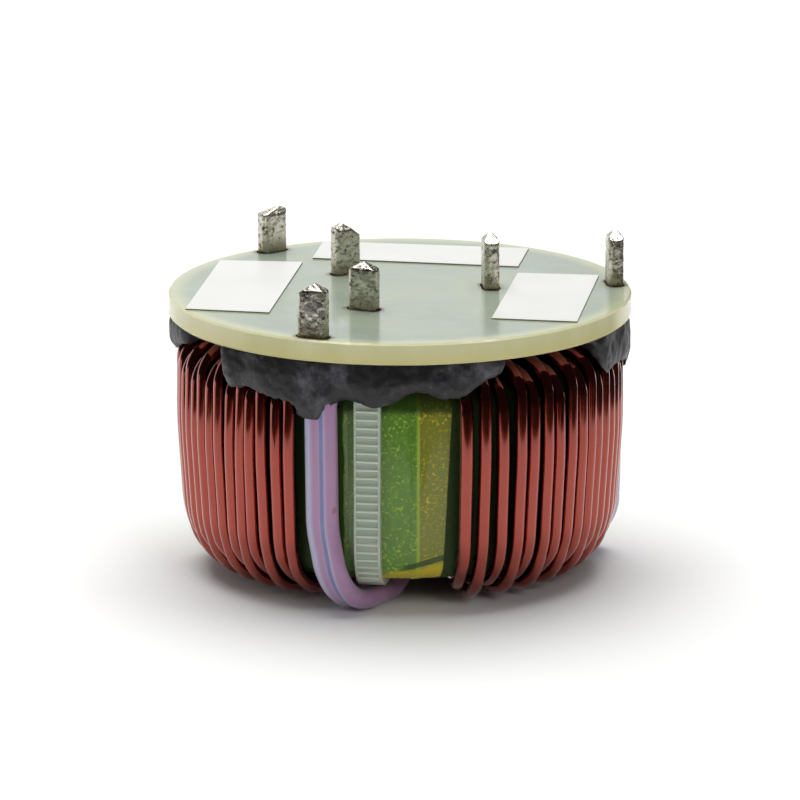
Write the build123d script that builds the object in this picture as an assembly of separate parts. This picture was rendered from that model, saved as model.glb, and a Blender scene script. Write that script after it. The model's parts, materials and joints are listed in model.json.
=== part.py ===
"""Three-phase common mode choke, standing as it is used on a bench, pins up.

A taped ring core carries three windings, each of nine turns of two enamelled wires laid side by
side. Their ends come up through slots in a round board and are flooded with solder as six pins.
Three black beads hold the board on the windings, three ties stand in the gaps between them, and
each winding's first end comes down the outside of the ring in a sleeve and in under it.

Millimetres. Z is up, the origin is on the ring's axis at the level of whatever it stands on, and
+X points at one pair of pins. Angles are degrees about Z from +X.
"""

import math
import os

from build123d import *

# Board
board_d = 64.0
board_t = 3.0
board_edge = 0.25
board_low_z = 36.0
board_top_z = board_low_z + board_t
slot_length = 5.0
slot_width = 2.6
cut_overrun = 1.0

# Ring core and the tape wrapped round it
tape_t = 0.25
tape_lap_step = 0.1
tape_laps = 18
tape_lap_angle = 2.4
tape_lap_start = 266.0
taped_outer_r = 28.0
taped_inner_r = 17.8
taped_low_z = 4.15
taped_top_z = 31.85
outer_corner_r = 3.2
inner_corner_r = 2.4

# Enamelled wire and the path of one turn, all on the wire's centre line
wire_d = 2.0
wire_gap = 0.02
turns = 9
turn_low_z = taped_low_z - wire_d / 2 - wire_gap
turn_top_z = taped_top_z + wire_d / 2 + wire_gap
turn_inner_r = taped_inner_r - wire_d / 2 - wire_gap
turn_top_r = 29.95
turn_belly_r = 30.12
turn_belly_z = 21.5
turn_low_r = 28.9
bend_top = 4.7
bend_belly = 60.0
bend_low = 4.2
bend_inner = 3.2

# The second wire of a pair nests over the first on the inner half of each turn
nest_r = 14.98
nest_out = 0.85
nest_in = 2.1
nest_bend = 4.8

# The windings: first wire's angle, first pitch, how much each pitch is less than the last
tight_pitch = 8.15
windings = {
    "phase_1": (279.4, 10.0, 0.42),
    "phase_2": (40.0, 9.0, 0.15),
    "phase_3": (162.3, 8.35, 0.0),
}
sector = 120.0

# Pins: where a winding's sleeved end and its other end come up, and how tall each pin stands
outer_pin_r = 30.0
inner_pin_r = 12.6
pair_gap = 2.08
pin_length = 4.3
pin_width = 2.3
pin_corner = 0.75
pin_root_z = board_low_z + 0.3
blade_low_z = board_low_z + 1.0
wire_below_tip = 1.9
pin_ridge = 0.5
pin_hip = 1.0
# height, how far the peak stands to the left of the middle, drop to the left, drop to the right
outer_pins = {
    "phase_1": (7.4, -0.2, 1.5, 1.1),
    "phase_2": (7.7, 0.3, 1.3, 1.7),
    "phase_3": (6.4, 0.9, 0.3, 0.9),
}
inner_pins = {
    "phase_1": (7.7, -0.4, 1.2, 1.6),
    "phase_2": (7.25, -0.7, 2.0, 0.5),
    "phase_3": (6.7, 0.1, 1.2, 1.2),
}

# Sleeved lead: angles are for the first winding, and the others turn by a sector each
sleeve_wall = 0.35
sleeve_ease = 0.05
sleeve_half_t = wire_d / 2 + sleeve_wall
sleeve_waist_half_t = 1.22
sleeve_waist_bend = 1.5
lead_pin_angle = 240.0
lead_top_r, lead_top_angle, lead_top_z = 29.8, 241.7, 33.0
lead_side_r, lead_side_angle, lead_side_z = 29.95, 242.3, 12.5
lead_foot_r, lead_foot_angle = 30.15, 246.4
lead_hole_r, lead_hole_angle = 15.3, 262.0
lead_bend_pin = 4.0
lead_bend_top, lead_bend_side = 8.0, 20.0
lead_bend_out = 7.0
lead_bend_in = 4.0
lead_bend_rise = 6.0
sleeve_low_end_z, sleeve_top_end_z = 10.2, 31.5
lead_rise_z = 11.8
lead_twist_z = 19.5
lead_twist_reach = 0.58 * pair_gap
lead_join_z = 27.0

# The last turn leans in from the ring to the inner pin: along and across that pin's direction
finish_low = ((16.72, -1.0), (16.72, 1.12))
finish_middle = ((14.7, -0.4), (14.45, 1.75))
finish_low_z, finish_middle_z, finish_top_z = 9.0, 18.5, 28.0
finish_bend = 8.0

# Cable ties
tie_angle = 254.0
tie_w = 3.6
tie_t = 1.05
tie_inner_r = 17.7
rib_pitch = 1.16
rib_gap = 0.55
rib_depth = 0.3
rib_border = 0.4
rib_low_z, rib_high_z = 8.0, 29.5
head_r, head_length, head_w = 22.6, 6.2, 6.0
head_low_z, head_top_z = 31.9, 35.8
head_corner = 0.6
tail_length = 1.8
tail_low_z = 33.53

# Adhesive beads: along the first one, its angle, the height of its lower edge and its outside
bead_inner_r = 23.5
bead_clear = 0.06
bead_top_inset, bead_foot_inset = 0.3, 0.9
# Down the bead's outside: share of its height below the board, and how far in from its outside
bead_belly = ((0.35, 0.0), (0.75, 0.12))
bead_line = (
    (208.5, 35.1, 31.2),
    (212.5, 32.6, 31.6),
    (216.0, 29.8, 31.8),
    (222.5, 29.9, 31.5),
    (229.0, 29.5, 31.75),
    (235.0, 28.2, 31.55),
    (239.5, 27.5, 31.9),
    (244.5, 28.6, 31.85),
    (249.0, 30.6, 31.4),
    (257.0, 29.7, 31.8),
    (262.5, 30.9, 31.5),
    (273.0, 31.1, 31.65),
    (280.5, 31.5, 31.8),
    (286.0, 33.1, 31.5),
    (290.0, 35.1, 31.2),
)
# Where each bead starts and ends, in the frame of its own winding
bead_ends = {"phase_1": (208.5, 290.0), "phase_2": (199.5, 290.0), "phase_3": (208.5, 312.0)}
gap_start, gap_end = 235.8, 274.6
shoulder_overrun = 2.0

# White strips on the board: centre radius, centre angle, angle of the long side
strip_length = 28.5
strip_width = 11.5
strip_t = 0.25
strip_corner = 0.6
strips = {
    "side_pad_1": (21.8, 166.2, 74.0),
    "side_pad_2": (20.6, -19.1, 76.5),
    "blank_label": (22.0, 75.8, -17.5),
}


def polar(radius, angle, z=0.0):
    """A point from its radius, angle and height."""
    turn = math.radians(angle)
    return Vector(radius * math.cos(turn), radius * math.sin(turn), z)


def turned(shape, angle):
    """The shape turned about the ring's axis."""
    return Rotation(0, 0, angle) * shape


def rounded_path(points, radii):
    """Straight runs joined by tangent arcs, one radius for each point between the ends."""
    edges = []
    start = points[0]
    for before, corner, after, radius in zip(points, points[1:], points[2:], radii):
        way_in = (corner - before).normalized()
        way_out = (after - corner).normalized()
        half_turn = math.radians(way_in.get_angle(way_out)) / 2
        setback = radius * math.tan(half_turn)
        arc_start = corner - way_in * setback
        arc_end = corner + way_out * setback
        to_centre = (way_out - way_in).normalized()
        middle = corner + to_centre * (radius / math.cos(half_turn) - radius)
        edges.append(Edge.make_line(start, arc_start))
        edges.append(Edge.make_three_point_arc(arc_start, middle, arc_end))
        start = arc_end
    edges.append(Edge.make_line(start, points[-1]))
    return Wire(edges)


def pitches(first, step):
    """The angle from each turn to the next, closing up until the wires touch."""
    return [max(first - step * n, tight_pitch) for n in range(turns)]


def wire_angles(winding):
    """The angles of the first wire of each pair down the outside, and of the second."""
    start, first, step = windings[winding]
    steps = pitches(first, step)
    first_wire = [start + sum(steps[:n]) for n in range(turns)]
    second_wire = [angle + pitch / 2 for angle, pitch in zip(first_wire, steps)]
    return first_wire, second_wire


def lead_frame(turn):
    """The lead's two low corners in plan, and the unit vector across it to its right."""
    foot = polar(lead_foot_r, lead_foot_angle + turn)
    hole = polar(lead_hole_r, lead_hole_angle + turn)
    heading = (hole - foot).normalized()
    return foot, hole, Vector(heading.Y, -heading.X, 0)


def at_z(point, z):
    """The same place in plan at another height."""
    return Vector(point.X, point.Y, z)


def pin_wire(radius, angle, side, z):
    """A wire of the pair in a pin, side +1 or -1 along the pin."""
    along = polar(1.0, angle + 90)
    return at_z(polar(radius, angle), z) + along * (side * pair_gap / 2)


def lead_points(winding, turn, side, join):
    """A wire from its outer pin down the outside, under the ring and up inside to the join."""
    foot, hole, across = lead_frame(turn)
    shift = across * (side * pair_gap / 2)
    pin_angle = lead_pin_angle + turn
    tip_z = board_top_z + outer_pins[winding][0] - wire_below_tip
    other_side, this_side = join
    middle = (at_z(other_side, 0) + at_z(this_side, 0) + hole * 2) * 0.25
    joined = (at_z(this_side, 0) - at_z(other_side, 0)).normalized()
    twist = (across * side + joined).normalized() * lead_twist_reach
    points = [
        pin_wire(outer_pin_r, pin_angle, side, tip_z),
        pin_wire(outer_pin_r, pin_angle, side, pin_root_z),
        polar(lead_top_r, lead_top_angle + turn, lead_top_z) + shift,
        polar(lead_side_r, lead_side_angle + turn, lead_side_z) + shift,
        at_z(foot, sleeve_half_t) + shift,
        at_z(hole, sleeve_half_t) + shift,
        at_z(hole, lead_rise_z) + shift,
        at_z(middle + twist, lead_twist_z),
        at_z(this_side, lead_join_z),
    ]
    radii = [lead_bend_pin, lead_bend_top, lead_bend_side, lead_bend_out, lead_bend_in]
    return points, radii + 3 * [lead_bend_rise]


def turn_points(outer_angle, inner_angle, nested):
    """One turn: in over the top, down the outside, and in under the ring."""
    drop = nest_out if nested else 0.0
    drop_in = nest_in if nested else 0.0
    inner_r = nest_r if nested else turn_inner_r
    points = [
        polar(turn_top_r, outer_angle, turn_top_z + drop),
        polar(turn_belly_r, outer_angle, turn_belly_z),
        polar(turn_low_r, outer_angle, turn_low_z - drop),
        polar(inner_r, inner_angle, turn_low_z - drop_in),
        polar(inner_r, inner_angle, turn_top_z + drop_in),
    ]
    inner_bend = nest_bend if nested else bend_inner
    return points, [bend_top, bend_belly, bend_low, inner_bend, inner_bend]


def finish_points(winding, turn, side, outer_angle):
    """The last turn: down the outside, in under the ring and up to the inner pin."""
    pin_angle = turn
    tip_z = board_top_z + inner_pins[winding][0] - wire_below_tip
    second = side < 0
    drop = nest_out if second else 0.0

    def beside_pin(along_across, z):
        along, across = along_across
        return polar(along, pin_angle, z) + polar(across, pin_angle + 90)

    low = finish_low[1 if second else 0]
    middle = finish_middle[1 if second else 0]
    top = (inner_pin_r, pair_gap / 2 if second else -pair_gap / 2)
    points = [
        polar(turn_top_r, outer_angle, turn_top_z + drop),
        polar(turn_belly_r, outer_angle, turn_belly_z),
        polar(turn_low_r, outer_angle, turn_low_z - drop),
        beside_pin(low, turn_low_z - drop),
        beside_pin(low, finish_low_z),
        beside_pin(middle, finish_middle_z),
        beside_pin(top, finish_top_z),
        beside_pin(top, tip_z),
    ]
    return points, [bend_top, bend_belly, bend_low, bend_inner] + 3 * [finish_bend]


def wire_route(winding, nested):
    """Every corner of one wire from its outer pin to its inner pin, with the bend at each."""
    turn = sector * list(windings).index(winding)
    side = -1 if nested else 1
    first_wire, second_wire = wire_angles(winding)
    start, first, _ = windings[winding]
    # Where the two wires of the pair rise inside the ring before the first turn.
    join_first = polar(turn_inner_r, start - first / 2)
    join_second = polar(nest_r, start)
    join = (join_first, join_second) if nested else (join_second, join_first)
    points, radii = lead_points(winding, turn, side, join)
    points.append(at_z(join[1], turn_top_z + (nest_in if nested else 0.0)))
    radii.append(nest_bend if nested else bend_inner)
    outer = second_wire if nested else first_wire
    inner = first_wire[1:] if nested else second_wire
    for outer_angle, inner_angle in zip(outer[: turns - 1], inner):
        more, more_radii = turn_points(outer_angle, inner_angle, nested)
        points += more
        radii += more_radii
    more, more_radii = finish_points(winding, turn, side, outer[-1])
    return points + more, radii + more_radii


def wire(winding, nested, clear=0.0):
    """One enamelled wire, swept round along its route, or the room that it needs."""
    path = rounded_path(*wire_route(winding, nested))
    section = Plane(path @ 0, z_dir=path % 0) * Circle(wire_d / 2 + clear)
    return sweep(section, path=path)


def ring_section(outer_r, inner_r, low_z, top_z, outer_corner, inner_corner):
    """The ring's section in the XZ plane, with rounded corners."""
    block = Pos((outer_r + inner_r) / 2, (low_z + top_z) / 2)
    outline = block * Rectangle(outer_r - inner_r, top_z - low_z)
    middle = (outer_r + inner_r) / 2
    outer_corners = [v for v in outline.vertices() if v.X > middle]
    outline = fillet(outer_corners, outer_corner)
    inner_corners = [v for v in outline.vertices() if v.X < middle]
    outline = fillet(inner_corners, inner_corner)
    return Plane.XZ * outline


def taped_section(inset=0.0):
    """The taped ring's section, or one that lies evenly inside it."""
    return ring_section(
        taped_outer_r - inset,
        taped_inner_r + inset,
        taped_low_z + inset,
        taped_top_z - inset,
        outer_corner_r - inset,
        inner_corner_r - inset,
    )


def core():
    """The solid ring."""
    return revolve(taped_section(tape_t), axis=Axis.Z)


def core_tape():
    """The tape wound round the ring's section, thicker where each turn laps over the last."""
    tape = revolve(taped_section(tape_lap_step) - taped_section(tape_t), axis=Axis.Z)
    band = taped_section() - taped_section(tape_t)
    for n in range(tape_laps):
        lap = revolve(band, axis=Axis.Z, revolution_arc=tape_lap_angle)
        tape += turned(lap, tape_lap_start + n * 360 / tape_laps)
    return tape


def slot_cut(radius, angle):
    """The slot that a pin comes up through, its long side across the radius."""
    cut = extrude(SlotOverall(slot_length, slot_width), amount=board_t + 2 * cut_overrun)
    low = polar(radius, angle, board_low_z - cut_overrun)
    return Location(low, (0, 0, angle + 90)) * cut


def board():
    """The round board with its six slots."""
    disc = Pos(0, 0, board_low_z + board_t / 2) * Cylinder(board_d / 2, board_t)
    rims = disc.edges().filter_by(GeomType.CIRCLE)
    disc = chamfer(rims, board_edge)
    for n in range(len(windings)):
        disc -= slot_cut(outer_pin_r, lead_pin_angle + sector * n)
        disc -= slot_cut(inner_pin_r, sector * n)
    return disc


def pin(radius, angle, shape):
    """A pair of wire ends flooded with solder into a blade, clipped to a low roof."""
    height, peak, drop_left, drop_right = shape
    half = pin_length / 2
    top = board_top_z + height
    outline = Polyline(
        (-half, blade_low_z),
        (half, blade_low_z),
        (half, top - drop_right),
        (-peak, top),
        (-half, top - drop_left),
        close=True,
    )
    half_width = pin_width / 2
    gable = Polyline(
        (-half_width, blade_low_z),
        (half_width, blade_low_z),
        (half_width, top - pin_hip),
        (pin_ridge / 2, top),
        (-pin_ridge / 2, top),
        (-half_width, top - pin_hip),
        close=True,
    )
    column = Pos(0, 0, blade_low_z) * extrude(
        RectangleRounded(pin_length, pin_width, pin_corner), amount=top - blade_low_z
    )
    blade = column & extrude(Plane.XZ * make_face(outline), amount=pin_width, both=True)
    blade = blade & extrude(Plane.YZ * make_face(gable), amount=pin_length, both=True)
    bore_depth = top - wire_below_tip - blade_low_z
    for side in (-1, 1):
        bore = Pos(side * pair_gap / 2, 0, blade_low_z + bore_depth / 2)
        blade -= bore * Cylinder(wire_d / 2, bore_depth)
    return Location(polar(radius, angle), (0, 0, angle + 90)) * blade


def sleeve_outline():
    """The sleeve's outside: a round over each wire and a shallow waist between them."""
    outline = Rectangle(pair_gap, 2 * sleeve_waist_half_t)
    for side in (-1, 1):
        outline += Pos(side * pair_gap / 2, 0) * Circle(sleeve_half_t)
    waist = [v for v in outline.vertices() if abs(v.X) < pair_gap / 2]
    return fillet(waist, sleeve_waist_bend)


def lead_sleeve(turn):
    """Sleeving over a lead's two wires, from under the board round and up inside the ring."""
    foot, hole, across = lead_frame(turn)
    side = polar(lead_side_r, lead_side_angle + turn, lead_side_z)
    top = polar(lead_top_r, lead_top_angle + turn, lead_top_z)
    share = (sleeve_top_end_z - lead_side_z) / (lead_top_z - lead_side_z)
    points = [
        at_z(hole, sleeve_low_end_z),
        at_z(hole, sleeve_half_t),
        at_z(foot, sleeve_half_t),
        side,
        side + (top - side) * share,
    ]
    path = rounded_path(points, [lead_bend_in, lead_bend_out, lead_bend_side])
    start = Plane(path @ 0, x_dir=across, z_dir=path % 0)
    inside = SlotCenterToCenter(pair_gap, wire_d + 2 * sleeve_ease)
    beside = path.moved(Location(across * pair_gap))
    return sweep(start * (sleeve_outline() - inside), path=path, binormal=beside)


def tie_block():
    """The tie's strap with all that it goes round, as wide as the strap."""
    section = ring_section(
        taped_outer_r + tie_t,
        tie_inner_r - tie_t,
        taped_low_z - tie_t,
        taped_top_z + tie_t,
        outer_corner_r + tie_t,
        inner_corner_r + tie_t,
    )
    return extrude(section, amount=tie_w / 2, both=True)


def tie_strap():
    """The strap's loop round the taped ring, ribbed where it stands down the outside."""
    low, top = taped_low_z, taped_top_z
    inside = ring_section(taped_outer_r, tie_inner_r, low, top, outer_corner_r, inner_corner_r)
    strap = tie_block() - extrude(inside, amount=tie_w, both=True)
    face_x = taped_outer_r + tie_t
    count = int((rib_high_z - rib_low_z) / rib_pitch)
    for n in range(count):
        z = rib_low_z + n * rib_pitch
        strap -= Pos(face_x, 0, z) * Box(2 * rib_depth, tie_w - 2 * rib_border, rib_gap)
    return strap


def tie_head():
    """The head on top of the ring, which the strap runs under and its cut end runs through."""
    middle_z = (head_low_z + head_top_z) / 2
    head = Pos(head_r, 0, middle_z) * Box(head_length, head_w, head_top_z - head_low_z)
    head = chamfer(head.edges().filter_by(Axis.Z), head_corner)
    tail_r = head_r - (head_length + tail_length) / 2
    tail = Pos(tail_r, 0, tail_low_z + tie_t / 2) * Box(tail_length, tie_w, tie_t)
    return head + tail


def cable_tie(turn):
    """A tie round the ring in a gap between windings."""
    return turned(tie_strap() + tie_head(), tie_angle + turn)


def tie_room(turn):
    """What a bead leaves free for the tie and for the ring that the tie goes round."""
    return turned(tie_block() + tie_head(), tie_angle + turn)


def winding_shoulder(first_angle, last_angle):
    """The space that a winding's wires take up near the board, with a little room round them."""
    clear = wire_d / 2 + bead_clear
    bend = bend_top + clear
    rise = (nest_in - nest_out) / (turn_low_r - nest_r)
    wall_r = turn_belly_r + clear
    low_z = turn_belly_z
    inner_r = bead_inner_r - cut_overrun
    shoulder_r = wall_r - bend
    shoulder_z = turn_top_z + nest_out + rise * (turn_top_r - shoulder_r) + clear
    inner_z = shoulder_z + rise * (shoulder_r - inner_r)
    wall_z = shoulder_z - bend
    half_way = bend * math.sqrt(0.5)
    on_bend = (shoulder_r + half_way, wall_z + half_way)
    outline = [
        Edge.make_line((inner_r, low_z), (wall_r, low_z)),
        Edge.make_line((wall_r, low_z), (wall_r, wall_z)),
        Edge.make_three_point_arc((wall_r, wall_z), on_bend, (shoulder_r, shoulder_z)),
        Edge.make_line((shoulder_r, shoulder_z), (inner_r, inner_z)),
        Edge.make_line((inner_r, inner_z), (inner_r, low_z)),
    ]
    section = Plane.XZ * make_face(Wire(outline))
    shoulder = revolve(section, axis=Axis.Z, revolution_arc=last_angle - first_angle)
    return turned(shoulder, first_angle)


def bead_section(angle, low_z, outer_r):
    """The bead cut on one radius: flat under the board, round outside and drawn in at its foot."""
    height = board_low_z - low_z
    rim_r, foot_r = outer_r - bead_top_inset, outer_r - bead_foot_inset
    belly = [(outer_r - inset, board_low_z - share * height) for share, inset in bead_belly]
    outline = [
        Edge.make_line((bead_inner_r, board_low_z), (rim_r, board_low_z)),
        Edge.make_spline([(rim_r, board_low_z), *belly, (foot_r, low_z)]),
        Edge.make_line((foot_r, low_z), (bead_inner_r, low_z)),
        Edge.make_line((bead_inner_r, low_z), (bead_inner_r, board_low_z)),
    ]
    return turned(Plane.XZ * make_face(Wire(outline)), angle)


def adhesive_bead(winding, turn, through):
    """A bead that fills from the board down over the wires' shoulders and on to the ring.

    Its lower edge hangs unevenly, and what passes through it leaves its own hole.
    """
    start, end = bead_ends[winding]
    first, last = bead_line[0][0], bead_line[-1][0]
    stretch = (end - start) / (last - first)
    sections = [
        bead_section(start + (angle - first) * stretch, low_z, outer_r)
        for angle, low_z, outer_r in bead_line
    ]
    bead = loft(sections)
    bead -= winding_shoulder(start - shoulder_overrun, gap_start)
    bead -= winding_shoulder(gap_end, end + shoulder_overrun)
    bead = turned(bead, turn) - revolve(taped_section(), axis=Axis.Z)
    for passing in through:
        bead -= passing
    return max(bead.solids(), key=lambda solid: solid.volume)


def strip(radius, angle, long_angle):
    """A white strip stuck on the board."""
    sheet = extrude(RectangleRounded(strip_length, strip_width, strip_corner), amount=strip_t)
    return Location(polar(radius, angle, board_top_z), (0, 0, long_angle)) * sheet


def main():
    os.makedirs("parts", exist_ok=True)
    nodes = {"core": core(), "core_tape": core_tape(), "board": board()}
    for n, winding in enumerate(windings):
        turn = sector * n
        number = n + 1
        nodes[f"{winding}_wire_a"] = wire(winding, nested=False)
        nodes[f"{winding}_wire_b"] = wire(winding, nested=True)
        nodes[f"outer_pin_{number}"] = pin(
            outer_pin_r, lead_pin_angle + turn, outer_pins[winding]
        )
        nodes[f"inner_pin_{number}"] = pin(inner_pin_r, turn, inner_pins[winding])
        nodes[f"lead_sleeve_{number}"] = lead_sleeve(turn)
        nodes[f"cable_tie_{number}"] = cable_tie(turn)
        passing = [nodes[f"lead_sleeve_{number}"], tie_room(turn)]
        passing += [wire(winding, nested, clear=bead_clear) for nested in (False, True)]
        nodes[f"adhesive_bead_{number}"] = adhesive_bead(winding, turn, passing)
    for name, place in strips.items():
        nodes[name] = strip(*place)
    for name, shape in nodes.items():
        export_step(shape, f"parts/{name}.step")


if __name__ == "__main__":
    main()
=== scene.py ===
"""The looks of a three-phase common mode choke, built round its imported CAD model.

Run as a script, it loads the model, gives every part its finish, adds the parts that are soft or
lumpy, and sets the choke on a pale floor under soft light. Metres, Z up, as in the CAD model.
"""

import json
import math

import bpy
from bpy.props import FloatProperty, FloatVectorProperty
from mathutils import Matrix, Vector
from mathutils.bvhtree import BVHTree

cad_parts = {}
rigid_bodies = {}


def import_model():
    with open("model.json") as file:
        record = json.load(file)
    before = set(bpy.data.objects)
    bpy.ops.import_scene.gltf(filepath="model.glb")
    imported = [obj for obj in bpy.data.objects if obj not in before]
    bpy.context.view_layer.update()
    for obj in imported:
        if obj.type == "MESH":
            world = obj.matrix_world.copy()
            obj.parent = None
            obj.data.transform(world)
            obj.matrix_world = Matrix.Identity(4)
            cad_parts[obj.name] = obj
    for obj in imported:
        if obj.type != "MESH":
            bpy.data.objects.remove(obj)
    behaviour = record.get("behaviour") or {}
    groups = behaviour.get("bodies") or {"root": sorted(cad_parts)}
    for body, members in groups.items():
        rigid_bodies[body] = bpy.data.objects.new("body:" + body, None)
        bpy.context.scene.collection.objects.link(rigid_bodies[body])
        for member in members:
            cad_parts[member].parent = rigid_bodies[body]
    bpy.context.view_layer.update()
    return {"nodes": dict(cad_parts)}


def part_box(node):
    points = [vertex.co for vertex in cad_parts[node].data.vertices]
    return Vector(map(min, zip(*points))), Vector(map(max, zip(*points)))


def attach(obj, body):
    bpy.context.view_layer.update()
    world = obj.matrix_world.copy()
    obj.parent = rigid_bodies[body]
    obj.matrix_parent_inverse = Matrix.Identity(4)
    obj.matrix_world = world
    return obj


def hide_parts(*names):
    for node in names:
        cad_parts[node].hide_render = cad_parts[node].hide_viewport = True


bl_info = {
    "name": "Common Mode Choke",
    "version": (1, 0, 0),
    "blender": (4, 5, 0),
    "location": "3D View > Sidebar > Choke",
    "description": "Finishes, soft parts, lights and camera for a three-phase common mode choke",
    "category": "Object",
}

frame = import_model()
board_low, board_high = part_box("board")

BODY = "root"
PHASES = (1, 2, 3)
THIRD = 120
TURN = math.radians(360)
SECTOR = math.radians(THIRD)
# Vertices closer than this are one, in metres
MERGE = 1e-6

# A wire's strands are told apart where they run straight up the outside of the ring, between
# these heights, outside this radius and with at least this gap between two of them
STRAND_LOW, STRAND_HIGH = 0.0205, 0.0225
STRAND_R = 0.0285
STRAND_GAP = math.radians(1.5)
# What lies within this angle of a strand's middle moves with it, in full outside the larger radius
# and not at all within the smaller
STRAND_REACH = math.radians(4.2)
STILL_R, MOVED_R = 0.020, 0.027
# The angles round its winding that a sleeved lead lies between
LEAD_LOW, LEAD_HIGH = math.radians(232), math.radians(260)

# The ring's lower outer corner in section, radius and height: the middle that it is rounded from,
# how far the flat faces lie from there, the radius of the corner as packed, how much of the way
# to a full round each kind of piece goes, and how many rings of edges carry the bend
FOOT_R, FOOT_Z = 0.0215, 0.01065
FOOT_REACH = 0.0065
FOOT_CORNER = 0.0032
WIRE_SHARE, TIE_SHARE, TAPE_SHARE = 0.8, 0.65, 0.3
FOOT_LOOPS = 8

# How far round the ring a lead's two wires lie from the middle of their sleeve
SLEEVE_SLACK = math.radians(1.4)

# The first tie's angle, the radius of its outside, its lower corner's middle and radius, how many
# ribs run straight up it and how many round the corner, and how much two neighbours overlap
TIE_ANGLE = math.radians(254)
TIE_FACE_R = 0.02905
TIE_CORNER_R, TIE_CORNER_Z, TIE_CORNER = 0.0248, 0.00735, 0.00425
STRAIGHT_RIBS, CORNER_RIBS = 21, 3
RIB_OVERLAP = 1.04
# A tie's sunk face, its ribs and its rails: thickness, width across the tie, how far the middle
# stands out from the strap, and the softening of the edges
SUNK_FACE = (0.00014, 0.0036, 0.0, 0.00002)
RIB = (0.00034, 0.0030, 0.0001, 0.00008)
RAIL = (0.00028, 0.00036, 0.00008, 0.00007)
# The share of the pitch that a rib fills, and how far to each side of the tie's middle a rail runs
RIB_SHARE = 0.30
RAIL_PLACE = 0.00162

# How far the solder reaches down into the board, the share of its width that its corners are
# rounded by, and how far from the ridge and how steeply its top is clipped at each side
PIN_ROOT = 0.0015
PIN_ROUNDING = 0.32
PIN_SHOULDER = 0.0002
SHOULDER_NORMAL = (0.001, 0.0009)
# The size of the solder's lumps, their depth and how far their pattern moves from pin to pin
PIN_LUMPS = ((0.0013, 0.00014, 0.01), (0.0005, 0.00005, 0.02))
# The same for the adhesive, with each depth as a share of the beads' own, and how far inside the
# board's rim the beads stay
BEAD_LUMPS = ((0.0042, 1.0, 0.013), (0.0013, 0.35, 0.031))
BEAD_INSET = 0.00003

# How far each pin's peak stands to the left of its middle, its drop to the left and to the right
PIN_ROOFS = {
    "outer_pin_1": (-0.0002, 0.0015, 0.0011),
    "inner_pin_1": (-0.0004, 0.0012, 0.0016),
    "outer_pin_2": (0.0003, 0.0013, 0.0017),
    "inner_pin_2": (-0.0007, 0.0020, 0.0005),
    "outer_pin_3": (0.0009, 0.0003, 0.0009),
    "inner_pin_3": (0.0001, 0.0012, 0.0012),
}
# How far each strand lies from its even place round the ring, in degrees, at its top and its foot,
# in order round a winding from the sleeved lead
LAY = {
    1: (
        (0.8, 0.7), (0.9, 0.7), (0.8, 1.2), (1.6, 1.3), (0.9, 0.4), (0.9, 1.0),
        (0.4, 0.7), (1.1, 0.7), (1.0, 1.3), (1.4, 1.2), (0.9, 1.0), (1.5, 1.1),
        (1.7, 1.9), (2.2, 2.0), (2.4, 2.5), (2.8, 2.7), (3.0, 3.1), (3.4, 3.2),
    ),
    2: (
        (0.0, 0.3), (0.4, 0.0), (0.2, 0.5), (0.6, 0.3), (0.1, 0.4), (0.5, 0.3),
        (0.5, 0.2), (0.4, 0.5), (0.6, 0.4), (0.4, 0.6), (0.7, 0.5), (0.5, 0.7),
        (0.8, 0.6), (0.6, 0.8), (0.9, 0.8), (0.8, 0.9), (1.0, 0.9), (0.9, 1.1),
    ),
    3: (
        (-1.2, -1.0), (-1.1, -1.2), (-1.0, -0.9), (-0.9, -1.0), (-0.8, -0.7), (-0.7, -0.9),
        (-0.7, -0.6), (-0.5, -0.6), (-0.2, -0.4), (-0.5, -0.3), (0.0, -0.3), (-0.2, -0.1),
        (0.9, -0.3), (1.0, -0.6), (-0.1, -0.9), (-0.6, -0.5), (0.0, -0.2), (-0.2, -0.5),
    ),
}
# The corners of the white strips, in millimetres to the right of the board's middle and behind it,
# and how many cuts divide each film both ways
STRIP_CORNERS = {
    "side_pad_1": ((-23.0, 20.1), (-30.6, -8.5), (-19.5, -12.1), (-11.6, 17.6)),
    "side_pad_2": ((17.5, 7.1), (10.1, -19.2), (21.3, -22.6), (28.5, 4.3)),
    "blank_label": ((-7.2, 30.3), (-9.9, 20.0), (18.1, 11.1), (21.2, 22.1)),
}
STRIP_CUTS = 11

# In from the board's edge, where its face turns to its yellower rim and where its side begins
RIM_FADE = (0.0032, 0.0002)
SIDE_FADE = (0.00028, 0.00018)
# Half a slot's straight run, where the stain fades from it, and the heights that flux fades between
SLOT_RUN = 0.0014
STAIN_FADE = (0.0012, 0.0019)
FLUX_FADE = (0.0006, 0.003)

# Marks on the tape, in degrees round each third of the ring, each from its start to its full
# strength: the overlap's ragged edge, with painted shade before it, the lap under it, the lap's
# raised ridge, with a painted highlight, from where it rises to where it falls, the pale stretch
# beside the tie, the painted shade by the next winding and the crease, with painted shade in it
TAPE_EDGE = (6.7, 7.2)
TAPE_LAP = (27.9, 28.4)
RIDGE_RISE, RIDGE_FALL = (27.2, 27.7), (28.0, 28.6)
BESIDE_TIE = (10.5, 12.0)
TAPE_SHADE = (34.6, 35.1)
CREASE_START = (21.5, 25.5)
# In millimetres of height: where the gold foot, painted with light from the floor below, ends,
# where the crease with its painted shade runs and how wide it is, and where the painted shadow
# under the bead starts
TAPE_UNDERLIT_FOOT = (5.7, 6.6)
CREASE_HEIGHT = 7.0
CREASE_WIDTH = (0.3, 0.5)
TAPE_BEAD_SHADOW = (27.6, 28.9)
# On a sleeve, in millimetres: how much nearer one wire is than the other across the blue line
# between them, and how far from the wires the film turns pale with painted sheen
BLUE_LINE = (0.25, 0.6)
PALE_SHEEN_FADE = (0.45, 0.8)


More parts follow.
